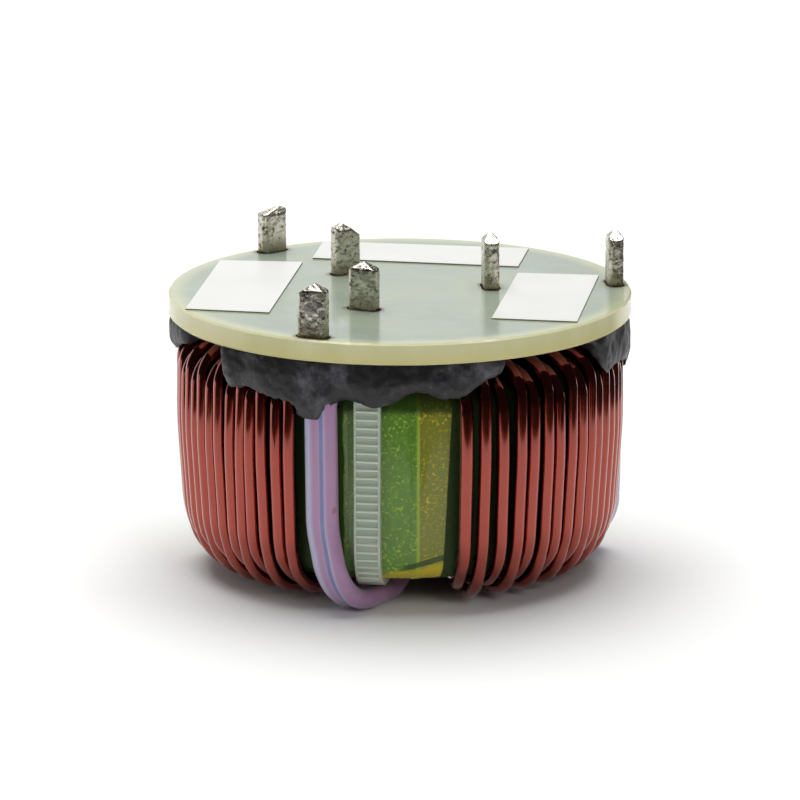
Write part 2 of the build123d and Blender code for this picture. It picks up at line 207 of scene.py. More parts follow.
def linear(red, green, blue):
    """A colour written as it looks on a screen, 0 to 255, in the linear values that shaders use."""

    def one(value):
        share = value / 255
        return share / 12.92 if share <= 0.04045 else ((share + 0.055) / 1.055) ** 2.4

    return (one(red), one(green), one(blue))


class Socket:
    """A shader socket that sums can be written with: each operator adds a Math node."""

    def __init__(self, finish, socket):
        self.finish = finish
        self.socket = socket

    def __add__(self, other):
        return self.finish.math("ADD", self, other)

    def __radd__(self, other):
        return self.finish.math("ADD", other, self)

    def __sub__(self, other):
        return self.finish.math("SUBTRACT", self, other)

    def __rsub__(self, other):
        return self.finish.math("SUBTRACT", other, self)

    def __mul__(self, other):
        return self.finish.math("MULTIPLY", self, other)

    def __rmul__(self, other):
        return self.finish.math("MULTIPLY", other, self)

    def __pow__(self, other):
        return self.finish.math("POWER", self, other)


class Finish:
    """A material: one Principled shader and the nodes that feed it."""

    def __init__(self, name, roughness, **values):
        self.material = bpy.data.materials.new(name)
        self.material.use_nodes = True
        self.tree = self.material.node_tree
        self.shader = self.tree.nodes["Principled BSDF"]
        self.place = self.node("ShaderNodeTexCoord", output="Object")
        self.set("Roughness", roughness)
        for socket, value in values.items():
            self.set(socket.replace("_", " "), value)

    def feed(self, socket, value):
        """Links a socket, or sets its value."""
        if isinstance(value, Socket):
            self.tree.links.new(value.socket, socket)
        elif socket.type == "RGBA":
            socket.default_value = (*value[:3], 1.0)
        else:
            socket.default_value = value

    def set(self, socket, value):
        self.feed(self.shader.inputs[socket], value)

    def node(self, kind, settings=None, inputs=None, output=0):
        """Any node, its settings first and then the values or links of its sockets."""
        made = self.tree.nodes.new(kind)
        for name, value in (settings or {}).items():
            setattr(made, name, value)
        for socket, value in (inputs or {}).items():
            self.feed(made.inputs[socket], value)
        return Socket(self, made.outputs[output])

    def math(self, operation, *values):
        return self.node("ShaderNodeMath", {"operation": operation}, dict(enumerate(values)))

    def vector(self, operation, *values):
        return self.node("ShaderNodeVectorMath", {"operation": operation}, dict(enumerate(values)))

    def axes(self, vector):
        """The three parts of a vector."""
        made = self.tree.nodes.new("ShaderNodeSeparateXYZ")
        self.feed(made.inputs[0], vector)
        return [Socket(self, made.outputs[n]) for n in range(3)]

    def attribute(self, name):
        """A number that the mesh holds at its points."""
        settings = {"attribute_type": "GEOMETRY", "attribute_name": name}
        return self.node("ShaderNodeAttribute", settings, output=2)

    def noise(self, scale, detail=2.0, roughness=0.5, stretch=None):
        """Soft noise, 0 to 1, with scale in features to the metre."""
        place = self.place
        if stretch:
            place = self.vector("MULTIPLY", place, stretch)
        values = {"Vector": place, "Scale": scale, "Detail": detail, "Roughness": roughness}
        return self.node("ShaderNodeTexNoise", None, values)

    def step(self, value, low, high):
        """0 below low, 1 above high and smooth between."""
        values = {0: value, 1: low, 2: high, 3: 0.0, 4: 1.0}
        return self.node("ShaderNodeMapRange", {"interpolation_type": "SMOOTHSTEP"}, values)

    def mix(self, share, first, second):
        """One colour turning into another as the share goes from 0 to 1."""
        return self.node("ShaderNodeMix", {"data_type": "RGBA"}, {0: share, 6: first, 7: second}, 2)

    def bump(self, height, distance, strength):
        """Small relief, distance deep in metres."""
        values = {"Height": height, "Distance": distance, "Strength": strength}
        self.set("Normal", self.node("ShaderNodeBump", None, values))


def dress(node, finish):
    """Gives a CAD node its finish."""
    slots = frame["nodes"][node].data.materials
    slots.clear()
    slots.append(finish.material)


def settle(piece, finish, slot, *nodes):
    """Hands a finished piece over: its finish, its body and the nodes it stands for. The slot is
    not used.
    """
    piece.data.materials.clear()
    piece.data.materials.append(finish.material)
    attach(piece, BODY)
    if nodes:
        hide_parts(*nodes)


def choose(*pieces):
    """Selects these objects alone, the first of them active."""
    bpy.ops.object.select_all(action="DESELECT")
    for piece in pieces:
        piece.select_set(True)
    bpy.context.view_layer.objects.active = pieces[0]


def middle(mesh, part):
    """The middle of a vertex, an edge or a face."""
    if isinstance(part, bpy.types.MeshVertex):
        return part.co
    places = [mesh.vertices[n].co for n in part.vertices]
    return sum(places, Vector()) / len(places)


def everywhere(_place):
    """The test that every part of a mesh passes."""
    return True


def nowhere(_place):
    """The test that no part of a mesh passes."""
    return False


def edit(piece, kind, test=everywhere):
    """Opens a mesh for editing with only the parts selected whose middle passes the test."""
    choose(piece)
    bpy.ops.object.mode_set(mode="EDIT")
    bpy.ops.mesh.select_mode(type=kind)
    bpy.ops.mesh.select_all(action="DESELECT")
    bpy.ops.object.mode_set(mode="OBJECT")
    mesh = piece.data
    parts = {"VERT": mesh.vertices, "EDGE": mesh.edges, "FACE": mesh.polygons}[kind]
    for part in parts:
        part.select = test(middle(mesh, part))
    bpy.ops.object.mode_set(mode="EDIT")


def close_edit():
    bpy.ops.object.mode_set(mode="OBJECT")


def modify(piece, kind, **settings):
    """Adds a modifier, sets it and applies it."""
    modifier = piece.modifiers.new(kind.title(), kind)
    for name, value in settings.items():
        setattr(modifier, name, value)
    choose(piece)
    bpy.ops.object.modifier_apply(modifier=modifier.name)


def lump(piece, size, depth, shift):
    """Pushes a surface in and out by up to half the depth, in lumps of about that size."""
    clouds = bpy.data.textures.new(f"{piece.name}_lumps", "CLOUDS")
    clouds.noise_scale = size
    clouds.noise_depth = 2
    origin = bpy.data.objects.new(f"{piece.name}_origin", None)
    origin.location = (shift, shift * 0.7, shift * 0.3)
    bpy.context.scene.collection.objects.link(origin)
    bpy.context.view_layer.update()
    modify(
        piece,
        "DISPLACE",
        texture=clouds,
        texture_coords="OBJECT",
        texture_coords_object=origin,
        strength=depth,
        mid_level=0.5,
    )
    bpy.data.objects.remove(origin)
    bpy.data.textures.remove(clouds)


def smooth(piece):
    choose(piece)
    bpy.ops.object.shade_smooth()


def copy_of(node, name):
    """A copy of a CAD node's mesh, with its loose triangles merged and the node's own marks off."""
    piece = frame["nodes"][node].copy()
    piece.data = piece.data.copy()
    piece.name = name
    piece.parent = None
    for key in list(piece.keys()):
        del piece[key]
    bpy.context.scene.collection.objects.link(piece)
    edit(piece, "VERT")
    bpy.ops.mesh.remove_doubles(threshold=MERGE)
    close_edit()
    return piece


def apply_place(piece):
    """Moves an object's place, turn and size into its mesh."""
    choose(piece)
    bpy.ops.object.transform_apply(location=True, rotation=True, scale=True)


def seat(piece, radius, angle):
    """Turns a piece made at the origin to stand across a radius of the ring, and sets it there."""
    piece.rotation_euler = (0, 0, angle + math.pi / 2)
    piece.location.x += radius * math.cos(angle)
    piece.location.y += radius * math.sin(angle)
    apply_place(piece)


class ChokeColours(bpy.types.PropertyGroup):
    """The colours that a user would change."""

    enamel: FloatVectorProperty(
        name="Enamel",
        description="Colour that the enamel gives the wires",
        subtype="COLOR",
        default=(0.33, 0.040, 0.020),
        min=0.0,
        max=1.0,
    )
    laminate: FloatVectorProperty(
        name="Board",
        description="Colour of the board's face",
        subtype="COLOR",
        default=linear(163, 174, 159),
        min=0.0,
        max=1.0,
    )
    tape: FloatVectorProperty(
        name="Tape",
        description="Colour of the tape on the ring",
        subtype="COLOR",
        default=linear(90, 130, 46),
        min=0.0,
        max=1.0,
    )
    sleeving: FloatVectorProperty(
        name="Sleeving",
        description="Colour of the sleeves over the leads",
        subtype="COLOR",
        default=linear(165, 165, 215),
        min=0.0,
        max=1.0,
    )
    nylon: FloatVectorProperty(
        name="Ties",
        description="Colour of the cable ties",
        subtype="COLOR",
        default=linear(205, 210, 192),
        min=0.0,
        max=1.0,
    )
    adhesive: FloatVectorProperty(
        name="Adhesive",
        description="Colour of the adhesive beads",
        subtype="COLOR",
        default=linear(44, 44, 48),
        min=0.0,
        max=1.0,
    )


class ChokeShapes(bpy.types.PropertyGroup):
    """The sizes of the pieces made here."""

    wire_thinning: FloatProperty(
        name="Wire thinning",
        description="How much thinner than packed the enamelled wires are, on each side",
        default=0.00007,
        unit="LENGTH",
    )
    rib_pitch: FloatProperty(
        name="Rib pitch",
        description="From one rib of a cable tie to the next",
        default=0.00116,
        unit="LENGTH",
    )
    pin_length: FloatProperty(
        name="Pin length",
        description="Across the radius that the pin stands on",
        default=0.00412,
        unit="LENGTH",
    )
    pin_width: FloatProperty(
        name="Pin width",
        description="Along the radius that the pin stands on",
        default=0.00215,
        unit="LENGTH",
    )
    pin_voxel: FloatProperty(
        name="Pin detail",
        description="Grid that the solder's surface is made on",
        default=0.000108,
        unit="LENGTH",
    )
    strip_thickness: FloatProperty(
        name="Strip thickness",
        description="Thickness of the white film on the board",
        default=0.0002,
        unit="LENGTH",
    )
    bead_voxel: FloatProperty(
        name="Bead detail",
        description="Grid that the adhesive's surface is made on",
        default=0.00025,
        unit="LENGTH",
    )
    bead_lumps: FloatProperty(
        name="Bead lumps",
        description="How far the adhesive's large lumps stand out and in",
        default=0.0007,
        unit="LENGTH",
    )


def enamel_finish(colours):
    """Copper under clear red enamel: a tinted mirror below a glossy coat."""
    finish = Finish("red_enamel", 0.13, Metallic=1.0, Coat_Weight=1.0, Coat_Roughness=0.04)
    base = Vector(colours.enamel)
    cloud = finish.noise(260.0, detail=3.0)
    grain = finish.noise(2600.0, detail=2.0)
    tone = finish.mix(cloud, base * 0.82, base * 1.12)
    finish.set("Base Color", finish.mix(grain * 0.3, tone, base * 0.7))
    finish.set("Roughness", 0.1 + 0.08 * finish.noise(900.0))
    return finish


def winding_angle(place, turn):
    """The angle of a place round the ring, from the turn at which its winding starts."""
    return (math.atan2(place.y, place.x) - turn) % TURN


def strand_angles(piece, turn):
    """The angles at which a wire runs down the outside of its winding, in that winding's frame."""
    angles = sorted(
        winding_angle(vertex.co, turn)
        for vertex in piece.data.vertices
        if STRAND_LOW < vertex.co.z < STRAND_HIGH and vertex.co.xy.length > STRAND_R
    )
    groups = [[angles[0]]]
    for angle in angles[1:]:
        if angle - groups[-1][-1] > STRAND_GAP:
            groups.append([])
        groups[-1].append(angle)
    return [(group[0] + group[-1]) / 2 for group in groups]


def ease(value, low, high):
    """0 below low, 1 above high and smooth between."""
    share = min(max((value - low) / (high - low), 0.0), 1.0)
    return share * share * (3 - 2 * share)


def lay_wire(piece, turn, moves):
    """Moves a wire's strands a little round the ring, where they run over its outer half."""
    strands = strand_angles(piece, turn)
    if len(strands) != len(moves):
        raise RuntimeError(f"{piece.name}: {len(strands)} strands where {len(moves)} belong")
    for vertex in piece.data.vertices:
        place = vertex.co
        angle = winding_angle(place, turn)
        nearest = min(range(len(strands)), key=lambda n: abs(strands[n] - angle))
        if abs(strands[nearest] - angle) > STRAND_REACH:
            continue
        top, foot = moves[nearest]
        height = ease(place.z, 0.0, board_low.z)
        share = ease(place.xy.length, STILL_R, MOVED_R)
        shift = math.radians(foot + (top - foot) * height) * share
        place.xy = Matrix.Rotation(shift, 2) @ place.xy


def corner_reach(x, y):
    """From the foot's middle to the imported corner, along a direction in section."""
    size = math.hypot(x, y)
    x, y = x / size, y / size
    flat = FOOT_REACH / max(x, y)
    inner = FOOT_REACH - FOOT_CORNER
    if flat * min(x, y) <= inner:
        return flat
    along = inner * (x + y)
    return along + math.sqrt(along * along - 2 * inner * inner + FOOT_CORNER * FOOT_CORNER)


def round_foot(piece, amount, skip=nowhere):
    """Rounds a piece off at the ring's lower outer corner, but not close to the corner's middle."""
    choose(piece)
    bpy.ops.object.mode_set(mode="EDIT")
    for n in range(FOOT_LOOPS):
        bpy.ops.mesh.select_all(action="SELECT")
        height = FOOT_Z - (FOOT_REACH - FOOT_CORNER) * n / FOOT_LOOPS
        bpy.ops.mesh.bisect(plane_co=(0, 0, height), plane_no=(0, 0, 1), threshold=MERGE)
    close_edit()
    for vertex in piece.data.vertices:
        place = vertex.co
        radius = place.xy.length
        x, y = radius - FOOT_R, FOOT_Z - place.z
        if x <= 0 or y <= 0 or skip(place):
            continue
        reach = math.hypot(x, y)
        if reach < FOOT_REACH / 2:
            continue
        share = 1 - amount * (corner_reach(x, y) - FOOT_REACH) / reach
        place.xy *= (FOOT_R + x * share) / radius
        place.z = FOOT_Z - y * share


class CHOKE_OT_wires(bpy.types.Operator):
    """Adds the six enamelled wires, laid a little unevenly as hand winding leaves them"""

    bl_idname = "choke.wires"
    bl_label = "Wires"

    def execute(self, context):
        shapes = context.scene.choke_shapes
        finish = enamel_finish(context.scene.choke_colours)
        for n in PHASES:
            for start, letter in enumerate("ab"):
                node = f"phase_{n}_wire_{letter}"
                piece = copy_of(node, f"enamelled_{n}{letter}")
                turn = SECTOR * (n - 1)

                def is_lead(place, turn=turn):
                    return LEAD_LOW < winding_angle(place, turn) < LEAD_HIGH

                lay_wire(piece, turn, LAY[n][start::2])
                round_foot(piece, WIRE_SHARE, skip=is_lead)
                smooth(piece)
                modify(piece, "DISPLACE", strength=-shapes.wire_thinning, mid_level=0.0)
                settle(piece, finish, "red_enamel", node)
        return {"FINISHED"}


def pin_seats():
    """Each pin's node, and the radius and angle that it stands at."""
    for n in PHASES:
        for row in ("outer", "inner"):
            node = f"{row}_pin_{n}"
            low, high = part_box(node)
            centre = (low + high) / 2
            yield node, centre.xy.length, math.atan2(centre.y, centre.x)


def laminate_finish(colours):
    """Cloudy glass-epoxy: green grey on its face, yellower at its rim, stained at its slots."""
    finish = Finish("board_laminate", 0.2, Coat_Weight=0.4, Coat_Roughness=0.1)
    base = Vector(colours.laminate)
    x, y, z = finish.axes(finish.place)
    radius = (x * x + y * y) ** 0.5
    cloud = finish.step(finish.noise(60.0, detail=3.0), 0.3, 0.7)
    blotch = finish.noise(190.0, detail=5.0, roughness=0.65)
    weave = finish.math("SINE", y * 9000.0 + 6.0 * blotch) * finish.noise(500.0)
    face = finish.mix(cloud, base * 0.84, Vector((base.x * 1.12, base.y * 1.1, base.z * 0.92)))
    face = finish.mix(finish.step(blotch, 0.45, 0.7) * 0.5, face, Vector(linear(160, 182, 190)))
    face = finish.mix(0.5 + 0.5 * weave, face, base * 0.93)
    rim_start, rim_end = (board_high.x - inset for inset in RIM_FADE)
    rim = finish.step(radius + 0.0012 * (blotch - 0.5), rim_start, rim_end)
    face = finish.mix(rim * 0.6, face, Vector(linear(212, 213, 170)))
    side_start, side_end = (board_high.x - inset for inset in SIDE_FADE)
    side = finish.step(radius, side_start, side_end)
    grime = finish.noise(300.0, detail=4.0, stretch=(1, 1, 0.4))
    edge = finish.mix(grime, Vector(linear(202, 200, 150)), Vector(linear(226, 224, 186)))
    low = 1.0 - finish.step(z, board_low.z, board_high.z)
    edge = finish.mix(low * 0.6, edge, Vector(linear(212, 200, 122)))
    colour = finish.mix(side, face, edge)
    ragged = finish.noise(900.0, detail=3.0)
    stain = 0.0
    for _, pin_r, angle in pin_seats():
        along_x, along_y = math.cos(angle), math.sin(angle)
        out = finish.math("ABSOLUTE", x * along_x + y * along_y - pin_r)
        across = finish.math("ABSOLUTE", y * along_x - x * along_y)
        beyond = finish.math("MAXIMUM", across - SLOT_RUN, 0.0)
        near = (out * out + beyond * beyond) ** 0.5
        reach = near + 0.0011 * (ragged - 0.5)
        stain = finish.math("MAXIMUM", stain, 1.0 - finish.step(reach, *STAIN_FADE))
    colour = finish.mix(stain * 0.75, colour, Vector(linear(98, 74, 30)))
    finish.set("Base Color", colour)
    finish.set("Roughness", 0.14 + 0.14 * blotch)
    finish.bump(weave * 0.4 + blotch, 0.00003, 0.6)
    return finish


class CHOKE_OT_board(bpy.types.Operator):
    """Gives the round board its cloudy laminate, with its stained slots"""

    bl_idname = "choke.board"
    bl_label = "Board"

    def execute(self, context):
        dress("board", laminate_finish(context.scene.choke_colours))
        return {"FINISHED"}


def strip_finish(thickness):
    """White film, faintly cloudy and specked, with an olive foot."""
    finish = Finish("white_strip", 0.4)
    _, _, z = finish.axes(finish.place)
    foot = finish.step(z, board_high.z + thickness * 0.5, board_high.z + thickness * 0.95)
    cloud = finish.noise(90.0, detail=3.0)
    speck = finish.step(finish.noise(900.0, detail=3.0), 0.68, 0.76)
    film = finish.mix(cloud, Vector(linear(214, 213, 210)), Vector(linear(226, 226, 223)))
    film = finish.mix(speck * 0.35, film, Vector(linear(205, 203, 196)))
    finish.set("Base Color", finish.mix(foot, Vector(linear(112, 112, 56)), film))
    finish.set("Roughness", 0.3 + 0.2 * cloud)
    return finish


def make_film(name, corners, thickness):
    """A sheet of film on the board, its corners given in order round it."""
    bpy.ops.object.select_all(action="DESELECT")
    bpy.ops.mesh.primitive_plane_add(size=1.0)
    piece = bpy.context.object
    piece.name = name
    around = (2, 0, 1, 3)
    for vertex, (x, y) in zip(around, corners):
        piece.data.vertices[vertex].co = (x / 1000, y / 1000, board_high.z)
    edit(piece, "FACE")
    bpy.ops.mesh.subdivide(number_cuts=STRIP_CUTS)
    bpy.ops.mesh.select_all(action="SELECT")
    bpy.ops.mesh.normals_make_consistent(inside=False)
    close_edit()
    modify(piece, "SOLIDIFY", thickness=thickness, offset=1.0)
    lift(piece, board_high.z)
    return piece


class CHOKE_OT_strips(bpy.types.Operator):
    """Adds the two pads and the bare label, thin white film stuck on the board"""

    bl_idname = "choke.strips"
    bl_label = "White strips"

    def execute(self, context):
        thickness = context.scene.choke_shapes.strip_thickness
        finish = strip_finish(thickness)
        for node, corners in STRIP_CORNERS.items():
            piece = make_film(f"{node}_film", corners, thickness)
            settle(piece, finish, "white_strip", node)
        return {"FINISHED"}


def lift(piece, low):
    """Sets a piece down on a height."""
    foot = min(vertex.co.z for vertex in piece.data.vertices)
    for vertex in piece.data.vertices:
        vertex.co.z += low - foot


def solder_finish():
    """Dull tin: mottled, pitted and brown with flux low down."""
    finish = Finish("dull_tin", 0.35, Metallic=1.0)
    _, _, z = finish.axes(finish.place)
    mottle = finish.noise(700.0, detail=5.0, roughness=0.7)
    pits = finish.step(finish.noise(1500.0, detail=3.0), 0.56, 0.66)
    bright = finish.mix(mottle, Vector(linear(178, 172, 146)), Vector(linear(254, 251, 242)))
    flux_low, flux_high = (board_high.z + height for height in FLUX_FADE)
    low = 1.0 - finish.step(z, flux_low, flux_high)
    colour = finish.mix(pits * 0.8, bright, Vector(linear(74, 68, 48)))
    colour = finish.mix(low * (0.25 + 0.5 * mottle), colour, Vector(linear(120, 98, 48)))
    finish.set("Base Color", colour)
    finish.set("Roughness", 0.14 + 0.3 * mottle)
    finish.set("Metallic", 1.0 - 0.5 * pits)
    finish.bump(mottle - 0.6 * pits, 0.00012, 0.8)
    return finish


def cut_away(piece, place, normal):
    """Cuts a closed mesh by a plane, drops the side that the normal points to and caps the cut."""
    edit(piece, "FACE")
    bpy.ops.mesh.bisect(
        plane_co=place,
        plane_no=Vector(normal).normalized(),
        use_fill=True,
        clear_outer=True,
        threshold=MERGE,
    )
    close_edit()


def make_pin(shapes, name, height, roof):
    """A blade of solder round two wire ends, clipped to a low roof, at the origin."""
    length, width = shapes.pin_length, shapes.pin_width
    peak, drop_left, drop_right = roof
    waist = (height - PIN_ROOT) / 2
    bpy.ops.object.select_all(action="DESELECT")
    bpy.ops.mesh.primitive_cube_add(size=1.0, location=(0, 0, waist))
    piece = bpy.context.object
    piece.name = name
    edit(piece, "FACE")
    bpy.ops.transform.resize(value=(length, width, height + PIN_ROOT))
    close_edit()
    apply_place(piece)
    edit(piece, "EDGE", lambda place: abs(place.z - waist) < 10 * MERGE)
    bpy.ops.mesh.bevel(offset=width * PIN_ROUNDING, segments=4, affect="EDGES")
    close_edit()
    ridge = Vector((-peak, 0, height))
    left_run = length / 2 - peak
    right_run = length / 2 + peak
    cut_away(piece, ridge, (-drop_left, 0, left_run))
    cut_away(piece, ridge, (drop_right, 0, right_run))
    out, up = SHOULDER_NORMAL
    for side in (-1, 1):
        cut_away(piece, ridge + Vector((0, side * PIN_SHOULDER, 0)), (0, side * out, up))
    modify(piece, "REMESH", mode="VOXEL", voxel_size=shapes.pin_voxel, adaptivity=0.0)
    modify(piece, "SMOOTH", factor=0.5, iterations=3)
    return piece


class CHOKE_OT_pins(bpy.types.Operator):
    """Adds the six pins, each a pair of wire ends flooded with solder and brown with flux"""

    bl_idname = "choke.pins"
    bl_label = "Pins"

    def execute(self, context):
        shapes = context.scene.choke_shapes
        finish = solder_finish()
        for count, (node, radius, angle) in enumerate(pin_seats()):
            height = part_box(node)[1].z - board_high.z
            piece = make_pin(shapes, f"{node}_solder", height, PIN_ROOFS[node])
            piece.location.z = board_high.z
            seat(piece, radius, angle)
            for size, depth, shift in PIN_LUMPS:
                lump(piece, size, depth, shift * count)
            keep_below(piece, board_high.z + height)
            smooth(piece)
            settle(piece, finish, "dull_tin", node)
        return {"FINISHED"}


def keep_below(piece, top):
    """Presses whatever stands above a height down to it."""
    for vertex in piece.data.vertices:
        vertex.co.z = min(vertex.co.z, top)


def keep_within(piece, radius):
    """Presses whatever stands outside a radius in to it."""
    for vertex in piece.data.vertices:
        reach = vertex.co.xy.length
        if reach > radius:
            vertex.co.xy *= radius / reach


def adhesive_finish(colours):
    """Black silicone: dull, with smear marks in its relief, greyer streaks of painted sheen along
    them and a few wet spots.
    """
    finish = Finish("black_adhesive", 0.5)
    base = Vector(colours.adhesive)
    smear_and_sheen = finish.noise(240.0, detail=6.0, roughness=0.68, stretch=(1.0, 1.0, 0.8))
    dust = finish.step(finish.noise(2600.0, detail=2.0), 0.70, 0.78)
    sheen_streak = Vector(linear(98, 96, 105))
    # Painted sheen: the streaks along the smears are painted a lighter lilac grey
    colour = finish.mix(finish.step(smear_and_sheen, 0.47, 0.78), base * 0.45, sheen_streak)
    finish.set("Base Color", finish.mix(dust * 0.5, colour, Vector(linear(130, 128, 120))))
    finish.set("Roughness", 0.3 + 0.35 * finish.noise(300.0, detail=3.0))
    finish.bump(smear_and_sheen, 0.0003, 0.8)
    return finish


class CHOKE_OT_beads(bpy.types.Operator):
    """Adds the three lumpy beads of black adhesive under the board"""

    bl_idname = "choke.beads"
    bl_label = "Adhesive beads"

    def execute(self, context):
        shapes = context.scene.choke_shapes
        finish = adhesive_finish(context.scene.choke_colours)
        for n in PHASES:
            node = f"adhesive_bead_{n}"
            piece = copy_of(node, f"adhesive_{n}")
            modify(piece, "REMESH", mode="VOXEL", voxel_size=shapes.bead_voxel, adaptivity=0.0)
            modify(piece, "SMOOTH", factor=0.5, iterations=4)
            for size, share, shift in BEAD_LUMPS:
                lump(piece, size, shapes.bead_lumps * share, shift * n)
            keep_within(piece, board_high.x - BEAD_INSET)
            keep_below(piece, board_low.z)
            smooth(piece)
            settle(piece, finish, "black_adhesive", node)
        return {"FINISHED"}


def tape_finish(colours):
    """Glossy green film over ochre: a ragged edge, a ridge, bubbles and a crease at each lap, with
    painted shade before the edge, in the crease, by the next winding and under the bead, a painted
    highlight on the ridge and painted light from below on the gold foot.
    """
    finish = Finish("green_tape", 0.12, Specular_IOR_Level=0.35, Coat_Roughness=0.05)
    base = Vector(colours.tape)
    shade = base * 0.28
    ochre = Vector(linear(124, 125, 42))
    gold = Vector(linear(196, 176, 34))
    x, y, z = finish.axes(finish.place)
    degrees = finish.math("ARCTAN2", y, x) * math.degrees(1) + 360.0
    wander = finish.noise(260.0, detail=3.0) - 0.5
    around = finish.math("FLOORED_MODULO", degrees, float(THIRD))
    ragged = around + 1.6 * wander
    height = z * 1000.0
    edge = finish.step(ragged, *TAPE_EDGE)
    lap = finish.step(around + 0.25 * wander, *TAPE_LAP)
    lean = 0.11 * (height - 6.0)
    beyond = finish.step(around + 0.5 * wander - lean, *TAPE_SHADE)
    ridge = finish.step(around, *RIDGE_RISE) * (1.0 - finish.step(around, *RIDGE_FALL))
    beside_tie = edge * (1.0 - finish.step(around, *BESIDE_TIE))
    cloud = finish.noise(210.0, detail=4.0)
    haze = finish.noise(900.0, detail=4.0, roughness=0.7)
    colour = finish.mix(cloud, base * 0.8, base * 1.15)
    colour = finish.mix(finish.step(haze, 0.45, 0.75) * 0.35, colour, base * 1.7)
    colour = finish.mix(lap * 0.85, colour, ochre)
    # Painted highlight: the lap's raised ridge is painted a lighter yellow-green
    colour = finish.mix(ridge * 0.7, colour, Vector(linear(158, 180, 48)))
    colour = finish.mix(beside_tie * 0.55, colour, Vector(linear(122, 148, 104)))
    bubbles = finish.step(finish.noise(2300.0, detail=3.0, roughness=0.6), 0.53, 0.62)
    patches = finish.step(finish.noise(380.0, detail=2.0), 0.36, 0.62)
    speck = bubbles * (0.3 + 0.7 * patches)
    colour = finish.mix(speck, colour, finish.mix(lap, Vector(linear(150, 176, 62)), gold))
    # Painted light: the foot is painted gold, as if lit through from the floor below
    foot_rise = 0.1 * (around - 24.0)
    low = 1.0 - finish.step(height + 1.2 * wander - foot_rise, *TAPE_UNDERLIT_FOOT)
    colour = finish.mix(low * 0.85, colour, gold)
    crease_rise = 0.13 * (around - 27.0)
    line = finish.math("ABSOLUTE", height - CREASE_HEIGHT - crease_rise)
    crease = 1.0 - finish.step(line + 0.4 * wander, *CREASE_WIDTH)
    crease = crease * finish.step(around, *CREASE_START)
    # Painted shade: the crease is painted dark; the fold itself is also a dent in the bump
    colour = finish.mix(crease * 0.9, colour, shade)
    # Painted shade: before the overlap's ragged edge, by the wires, the tape is painted dark
    colour = finish.mix(edge, shade, colour)
    colour = finish.mix(beyond, colour, shade * 0.6)
    # Painted shadow: the tape's top, under the adhesive bead, is painted dark
    top = finish.step(height + 1.2 * wander, *TAPE_BEAD_SHADOW)
    colour = finish.mix(top * 0.85, colour, shade * 0.5)
    finish.set("Base Color", colour)
    bare = finish.math("MAXIMUM", beyond, 1.0 - edge)
    finish.set("Coat Weight", 0.3 * (1.0 - bare))
    finish.set("Roughness", 0.1 + 0.2 * speck + 0.1 * haze + 0.45 * bare)
    finish.bump(haze * 0.5 + speck * 0.5 - crease + edge, 0.00006, 0.7)
    return finish


def ferrite_finish():
    """Dark grey ferrite, which only shows if the tape is taken off."""
    finish = Finish("ferrite", 0.6)
    grain = finish.noise(1500.0, detail=3.0)
    dark, light = Vector((0.02, 0.02, 0.022)), Vector((0.05, 0.05, 0.05))
    finish.set("Base Color", finish.mix(grain, dark, light))
    return finish


class CHOKE_OT_tape(bpy.types.Operator):
    """Adds the ring and its tape, a little rounded at their foot"""

    bl_idname = "choke.tape"
    bl_label = "Core and tape"

    def execute(self, context):
        tape = copy_of("core_tape", "tape")
        round_foot(tape, TAPE_SHARE)
        settle(tape, tape_finish(context.scene.choke_colours), "green_tape", "core_tape")
        ring = copy_of("core", "ferrite_ring")
        round_foot(ring, TAPE_SHARE)
        settle(ring, ferrite_finish(), "ferrite", "core")
        return {"FINISHED"}


def mark_wires(piece, wires):
    """Writes how far a sleeve is from its two wires, and how much nearer it is to one of them."""
    trees = []
    across = Matrix.Rotation(-SLEEVE_SLACK, 3, "Z")
    for wire in wires:
        mesh = wire.data
        corners = [vertex.co for vertex in mesh.vertices]
        trees.append(BVHTree.FromPolygons(corners, [face.vertices for face in mesh.polygons]))
    piece.data.attributes.new("wire_depth", "FLOAT", "POINT")
    piece.data.attributes.new("wire_side", "FLOAT", "POINT")
    depth, side = (piece.data.attributes[name].data for name in ("wire_depth", "wire_side"))
    for n, vertex in enumerate(piece.data.vertices):
        near, far = sorted(tree.find_nearest(across @ vertex.co)[3] for tree in trees)
        depth[n].value = near
        side[n].value = far - near


def sleeve_finish(colours):
    """Lilac film: mauve over each wire, blue along the line between them and pale at its sides,
    where it lies clear of the wires and a painted grazing sheen lightens it.
    """
    finish = Finish("lilac_sleeving", 0.25, Coat_Weight=0.6, Coat_Roughness=0.1)
    finish.set("Sheen Weight", 0.35)
    finish.set("Sheen Roughness", 0.4)
    base = Vector(colours.sleeving)
    mauve = Vector(linear(192, 136, 172))
    blue = Vector(linear(104, 112, 172))
    pale_sheen = Vector(linear(196, 194, 226))
    depth = finish.attribute("wire_depth") * 1000.0
    middle_line = 1.0 - finish.step(finish.attribute("wire_side") * 1000.0, *BLUE_LINE)
    cloud = finish.noise(350.0, detail=3.0)
    film = finish.mix(middle_line, mauve, blue)
    film = finish.mix(0.1 + 0.3 * cloud, film, base)
    # Painted sheen: the sides, clear of the wires, are painted paler as at a grazing view
    film = finish.mix(finish.step(depth, *PALE_SHEEN_FADE) * (1.0 - middle_line), film, pale_sheen)
    fleck = finish.step(finish.noise(520.0, detail=2.0), 0.72, 0.76)
    finish.set("Base Color", finish.mix(fleck * 0.5, film, Vector(linear(150, 50, 60))))
    finish.set("Alpha", 0.8)
    return finish


